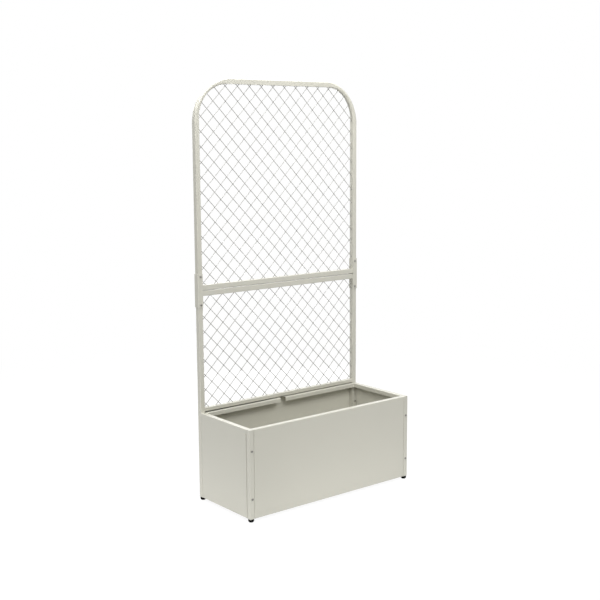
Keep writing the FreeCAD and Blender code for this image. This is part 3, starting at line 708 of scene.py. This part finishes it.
def bare_steel(name, dark, light, roughness):
    """Dull plated steel, finely streaked, with small stains."""
    material, start = start_material(name)
    place = start.node("TexCoord", output="Object")
    streaks = start.node(
        "VectorMath", {"operation": "MULTIPLY"}, {0: place, 1: (2600, 2600, 500)}
    )
    brushing = start.node("TexNoise", sockets={"Vector": streaks, "Scale": 1, "Detail": 3})
    stain = start.node("TexNoise", sockets={"Vector": place, "Scale": 320, "Detail": 3})
    tone = 0.5 * brushing + 0.5 * stain
    colour = start.node(
        "Mix", {"data_type": "RGBA"}, {0: tone, 6: dark, 7: light}, output=2
    )
    bump = start.node("Bump", sockets={"Strength": 0.25, "Distance": 0.00005, "Height": brushing})
    steel = start.node("BsdfPrincipled", sockets={
        "Base Color": colour,
        "Metallic": 1.0,
        "Roughness": roughness + 0.2 * stain,
        "Normal": bump,
    })
    start.node("OutputMaterial", sockets={"Surface": steel})
    return material


def hexagon(half_width, steps):
    """Points round a hexagon, at the angles of the points of a circle."""
    points = []
    for number in range(steps):
        angle = math.tau * number / steps
        off = (angle + math.pi / 6) % (math.pi / 3) - math.pi / 6
        radius = half_width / math.cos(off)
        points.append((radius * math.cos(angle), radius * math.sin(angle)))
    return points


def lathe(bm, place, profile, steps):
    """Turn a profile of (radius, height) round the place's Z axis."""
    loft(bm, [
        [place @ Vector((*point, height)) for point in circle(radius, steps)]
        for radius, height in profile
    ])


def thread(bm, place, root, crest, pitch, start, stop, steps):
    """Helical ridge along the place's Z axis."""
    count = int((stop - start) / pitch * steps)
    lines = []
    for radius, shift in ((crest, 0), (root, pitch / 2)):
        lines.append([
            bm.verts.new(place @ Vector((
                radius * math.cos(math.tau * number / steps),
                radius * math.sin(math.tau * number / steps),
                start + shift + pitch * number / steps,
            )))
            for number in range(count)
        ])
    ridge, groove = lines
    made = [
        bm.faces.new((ridge[n], ridge[n + 1], groove[n + 1], groove[n])) for n in range(count - 1)
    ] + [
        bm.faces.new((groove[n], groove[n + 1], ridge[n + 1 + steps], ridge[n + steps]))
        for n in range(count - 1 - steps)
    ]
    bmesh.ops.recalc_face_normals(bm, faces=made)


def screw(bm, place, length):
    """Screw whose head sits on the place's XY plane, with its shank down the Z axis."""
    levels = [
        (circle(SHANK_RADIUS, HEAD_SIDES), 0),
        (circle(HEAD_RADIUS - HEAD_EASE, HEAD_SIDES), 0),
    ]
    for step in range(HEAD_STEPS + 1):
        angle = math.radians(90 * step / HEAD_STEPS)
        radius = HEAD_TOP_RADIUS + (HEAD_RADIUS - HEAD_TOP_RADIUS) * math.cos(angle)
        height = HEAD_BAND + (HEAD_HEIGHT - HEAD_BAND) * math.sin(angle)
        levels.append((circle(radius, HEAD_SIDES), height))
    for half_width, depth in SOCKET_PROFILE:
        levels.append((hexagon(half_width, HEAD_SIDES), HEAD_HEIGHT - depth))
    loft(bm, [
        [place @ Vector((*point, height)) for point in outline] for outline, height in levels
    ])
    lathe(bm, place, (
        (SHANK_RADIUS, 0), (SHANK_RADIUS, THREADED - length), (THREAD_ROOT, THREADED - length),
        (THREAD_ROOT, SCREW_POINT - length), (THREAD_ROOT - SCREW_POINT, -length),
    ), SHANK_SIDES)
    thread(
        bm, place @ Matrix.Rotation(math.pi, 4, "X"), THREAD_ROOT, THREAD_CREST, THREAD_PITCH,
        length - THREADED - THREAD_RUN_IN, length - THREAD_RUN_OUT, SHANK_SIDES,
    )


screw_steel = bare_steel(
    "screw_steel", dark=(0.19, 0.185, 0.172, 1), light=(0.33, 0.322, 0.30, 1), roughness=0.35
)
for node, seat, facing in (
    ("front_corner_screws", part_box("front_panel")[0].y, -1),
    ("back_corner_screws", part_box("back_panel")[1].y, 1),
    ("sleeve_screws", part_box("left_joint_sleeve")[0].y, -1),
):
    low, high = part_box(node)
    length = high.y - seat if facing < 0 else seat - low.y
    turned = Matrix.Rotation(math.radians(-90 * facing), 4, "X")
    bm = bmesh.new()
    for x in (low.x + HEAD_RADIUS, high.x - HEAD_RADIUS):
        for z in (low.z + HEAD_RADIUS, high.z - HEAD_RADIUS):
            screw(bm, Matrix.Translation((x, seat, z)) @ turned, length)
    screws = build(f"{node}_steel", bm, screw_steel)
    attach(screws, "planter")
    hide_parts(node)

# ---------------------------------------------------------------------------------------
# Nuts
#
# Plated hexagon nuts on the corner screws, inside the box, with their corners chamfered.
# The sleeve screws turn in flanged rivet nuts set in the front walls of the tubes.
# ---------------------------------------------------------------------------------------
NUT_HALF_WIDTH = 0.004
NUT_SIDES = 36
NUT_BORE = 0.0025
BORE_EASE = 0.0003
# height above a face, and how far the corners reach there as a share of the half width
NUT_CHAMFER = ((0, 0.94), (0.0004, 1.05), (0.0008, 1.2))


def nut(bm, place, thick):
    """Hexagon nut that stands on the place's XY plane."""
    levels = []
    for height, share in (
        *NUT_CHAMFER, *((thick - height, share) for height, share in reversed(NUT_CHAMFER))
    ):
        reach = share * NUT_HALF_WIDTH
        outline = []
        for x, y in hexagon(NUT_HALF_WIDTH, NUT_SIDES):
            cut = min(1, reach / math.hypot(x, y))
            outline.append((x * cut, y * cut))
        levels.append((outline, height))
    for height, radius in (
        (thick, NUT_BORE + BORE_EASE), (thick - BORE_EASE, NUT_BORE),
        (BORE_EASE, NUT_BORE), (0, NUT_BORE + BORE_EASE),
    ):
        levels.append((circle(radius, NUT_SIDES), height))
    loft(bm, [
        [place @ Vector((*point, height)) for point in outline] for outline, height in levels
    ], closed=True)


nut_steel = bare_steel(
    "nut_steel", dark=(0.42, 0.41, 0.38, 1), light=(0.62, 0.61, 0.57, 1), roughness=0.28
)
turned = Matrix.Rotation(math.radians(90), 4, "X")
for node in ("front_corner_nuts", "back_corner_nuts"):
    low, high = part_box(node)
    corner = NUT_HALF_WIDTH / math.cos(math.pi / 6)
    bm = bmesh.new()
    for x in (low.x + corner, high.x - corner):
        for z in (low.z + NUT_HALF_WIDTH, high.z - NUT_HALF_WIDTH):
            nut(bm, Matrix.Translation((x, high.y, z)) @ turned, high.y - low.y)
    nuts = build(f"{node}_steel", bm, nut_steel)
    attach(nuts, "planter")
    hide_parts(node)
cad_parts["sleeve_rivet_nuts"].data.materials[0] = nut_steel

# ---------------------------------------------------------------------------------------
# Feet
#
# A black moulded pad on a plated stud, which turns in a plastic insert in the end of each
# corner tube.  The pad's underside is dished, so that it stands on its rim.
# ---------------------------------------------------------------------------------------
STUD_CREST = 0.00395
STUD_ROOT = 0.0033
STUD_PITCH = 0.00125
STUD_CHAMFER = 0.0008
STUD_RUN_IN = 0.0005
STUD_RUN_OUT = 0.0015
STUD_SIDES = 24
PAD_SIDES = 48
# radius and height, from the dished underside over the rim and the top down into the middle
PAD_PROFILE = (
    (0.0010, 0.0006), (0.0050, 0.0006), (0.0058, 0.0001), (0.0066, 0), (0.0073, 0.0001),
    (0.0082, 0.0006), (0.0099, 0.0026), (0.0106, 0.0038), (0.0110, 0.0053), (0.0110, 0.0102),
    (0.0108, 0.0111), (0.0103, 0.0117), (0.0096, 0.0120), (0.0062, 0.0120), (0.0060, 0.0118),
    (0.0052, 0.0118), (0.0050, 0.0120), (0.0041, 0.0120), (0.0041, 0.0060), (0.0010, 0.0060),
)


def moulded_plastic(name, dark, light, roughness):
    """Moulded plastic with the fine grain of its mould."""
    material, start = start_material(name)
    place = start.node("TexCoord", output="Object")
    grain = start.node("TexNoise", sockets={"Vector": place, "Scale": 1800, "Detail": 2})
    scuff = start.node("TexNoise", sockets={"Vector": place, "Scale": 140, "Detail": 4})
    colour = start.node("Mix", {"data_type": "RGBA"}, {0: scuff, 6: dark, 7: light}, output=2)
    bump = start.node("Bump", sockets={"Strength": 0.4, "Distance": 0.00006, "Height": grain})
    plastic = start.node("BsdfPrincipled", sockets={
        "Base Color": colour,
        "Specular IOR Level": 0.04,
        "Roughness": roughness + 0.15 * scuff,
        "Normal": bump,
    })
    start.node("OutputMaterial", sockets={"Surface": plastic})
    return material


pad_plastic = moulded_plastic(
    "pad_plastic", dark=(0.003, 0.003, 0.003, 1), light=(0.006, 0.006, 0.006, 1), roughness=0.65
)
insert_plastic = moulded_plastic(
    "insert_plastic", dark=(0.012, 0.012, 0.012, 1), light=(0.03, 0.03, 0.03, 1), roughness=0.5
)
stud_steel = bare_steel(
    "stud_steel", dark=(0.42, 0.42, 0.42, 1), light=(0.62, 0.62, 0.62, 1), roughness=0.25
)
for corner in ("front_left", "front_right", "back_left", "back_right"):
    low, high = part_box(f"{corner}_foot_pad")
    place = Matrix.Translation(((low.x + high.x) / 2, (low.y + high.y) / 2, 0))
    bm = bmesh.new()
    lathe(bm, place, PAD_PROFILE, PAD_SIDES)
    pad = build(f"{corner}_foot_moulded_pad", bm, pad_plastic)
    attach(pad, f"{corner}_foot")
    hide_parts(f"{corner}_foot_pad")

    low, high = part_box(f"{corner}_foot_stud")
    bm = bmesh.new()
    lathe(bm, place, (
        (STUD_ROOT, low.z), (STUD_ROOT, high.z - STUD_CHAMFER),
        (STUD_ROOT - STUD_CHAMFER, high.z),
    ), STUD_SIDES)
    thread(
        bm, place, STUD_ROOT, STUD_CREST, STUD_PITCH,
        low.z + STUD_RUN_IN, high.z - STUD_RUN_OUT, STUD_SIDES,
    )
    stud = build(f"{corner}_foot_threaded_stud", bm, stud_steel)
    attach(stud, f"{corner}_foot")
    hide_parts(f"{corner}_foot_stud")
    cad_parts[f"{corner}_foot_insert"].data.materials[0] = insert_plastic

# ---------------------------------------------------------------------------------------
# Studio
#
# A wide white floor, in a room lit by one broad, soft source high up in front and to the left.
# The floor throws most light back near the box, as a painted pool of light: its bounce colour is
# pale near the box and dark farther out.  Lamps fill in from the left, the front, the back and
# above.
# ---------------------------------------------------------------------------------------
FLOOR = 60
SEEN_OPEN = 3.0
SEEN_WHITE = 0.92
SEEN_SHADED = 0.10
# the floor's bounce colour fades from pale to dark over this distance: a painted pool of light
PAINTED_POOL_RADIUS = 1.2
PAINTED_POOL_NEAR = 0.88
PAINTED_POOL_FAR = 0.15
ROOM_SOURCE = (-0.325, -0.560, 0.762)
ROOM_LIGHT = 3.4
ROOM_SPREAD = 8


def seen(start):
    """1 for what is looked at directly, in a reflection or through glass, and 0 for light."""
    rays = [
        start.node("LightPath", output=f"Is {kind} Ray")
        for kind in ("Camera", "Glossy", "Transmission")
    ]
    return start.math("MAXIMUM", start.math("MAXIMUM", rays[0], rays[1]), rays[2])


def matt(start, level):
    """A matt grey."""
    return start.node("BsdfDiffuse", sockets={"Color": (level, level, level, 1)})


floor_white, start = start_material("floor_white")
# painted pool of light: the bounce colour is pale near the box and dark farther out
painted_pool_near = matt(start, PAINTED_POOL_NEAR)
painted_pool_far = matt(start, PAINTED_POOL_FAR)
glow = start.node("Emission", sockets={"Strength": SEEN_WHITE})
near = start.node("AddShader", sockets={0: glow, 1: matt(start, SEEN_SHADED)})
open_floor = start.node("Emission", sockets={"Strength": 1.0})
place = start.node("TexCoord", output="Object")
distance = start.node("VectorMath", {"operation": "LENGTH"}, {0: place}, output="Value")
far = start.math("MINIMUM", distance * (1 / PAINTED_POOL_RADIUS), 1.0)
bounce = start.node("MixShader", sockets={0: far * far, 1: painted_pool_near, 2: painted_pool_far})
away = start.math("MINIMUM", distance * (1 / SEEN_OPEN), 1.0)
shown = start.node("MixShader", sockets={0: away * away, 1: near, 2: open_floor})
mixed = start.node("MixShader", sockets={0: seen(start), 1: bounce, 2: shown})
start.node("OutputMaterial", sockets={"Surface": mixed})
mesh = bpy.data.meshes.new("floor")
edge = [(-FLOOR, -FLOOR, 0), (FLOOR, -FLOOR, 0), (FLOOR, FLOOR, 0), (-FLOOR, FLOOR, 0)]
mesh.from_pydata(edge, [], [range(len(edge))])
mesh.materials.append(floor_white)
floor = bpy.data.objects.new("floor", mesh)
bpy.context.scene.collection.objects.link(floor)

world = bpy.data.worlds.new("room")
world.use_nodes = True
world.node_tree.nodes.clear()
start = Shade(world.node_tree)
direction = start.node("TexCoord", output="Generated")
facing = start.node(
    "VectorMath", {"operation": "DOT_PRODUCT"}, {0: direction, 1: ROOM_SOURCE}, output="Value"
)
source = start.math("POWER", start.math("MAXIMUM", facing, 0.0), ROOM_SPREAD)
dark = start.node("Background", sockets={"Strength": 0.0})
bright = start.node("Background", sockets={"Color": (1, 1, 1, 1), "Strength": ROOM_LIGHT})
room = start.node("MixShader", sockets={0: source, 1: dark, 2: bright})
white = start.node("Background", sockets={"Color": (1, 1, 1, 1), "Strength": 1.0})
mixed = start.node("MixShader", sockets={0: seen(start), 1: room, 2: white})
start.node("OutputWorld", sockets={"Surface": mixed})
bpy.context.scene.world = world

for name, watts, width, depth, place, target in (
    ("left_lamp", 30.0, 1.6, 1.6, (-1.8, 0, 3.0), (0, 0.1, 0.8)),
    ("low_left_lamp", 2.9, 0.9, 0.6, (-1.5, -0.1, 0.28), (-0.4, 0, 0.12)),
    ("front_lamp", 24.0, 1.4, 0.8, (0.1, -1.4, 2.25), (0, 0.1, 1.5)),
    ("back_lamp", 25.0, 2.0, 1.6, (0.4, 2.2, 2.2), (0, 0.15, 0.8)),
    ("low_back_lamp", 18.0, 1.6, 0.4, (1.1, 1.9, 0.22), (0.1, 0.1, 0.2)),
    ("overhead_lamp", 24.0, 1.8, 0.8, (0.15, 0.3, 2.5), (0.1, 0.1, 1.3)),
):
    lamp = bpy.data.lights.new(name, "AREA")
    lamp.energy = watts
    lamp.shape = "RECTANGLE"
    lamp.size = width
    lamp.size_y = depth
    lamp_object = bpy.data.objects.new(name, lamp)
    lamp_object.location = place
    aim = Vector(target) - Vector(place)
    lamp_object.rotation_euler = aim.to_track_quat("-Z", "Y").to_euler()
    lamp_object.visible_camera = False
    bpy.context.scene.collection.objects.link(lamp_object)

# ---------------------------------------------------------------------------------------
# Camera
#
# At chest height, in front and to the left of the box, and far enough back for the uprights
# to look nearly parallel.
# ---------------------------------------------------------------------------------------
camera = bpy.data.objects.new("camera", bpy.data.cameras.new("camera"))
camera.location = (-2.5450, -3.1301, 1.3957)
camera.rotation_euler = [math.radians(angle) for angle in (81.1447, 0.3263, -38.8709)]
camera.data.lens = 62.639
camera.data.sensor_width = 36
bpy.context.scene.collection.objects.link(camera)
bpy.context.scene.camera = camera
bpy.context.scene.view_settings.view_transform = "Standard"
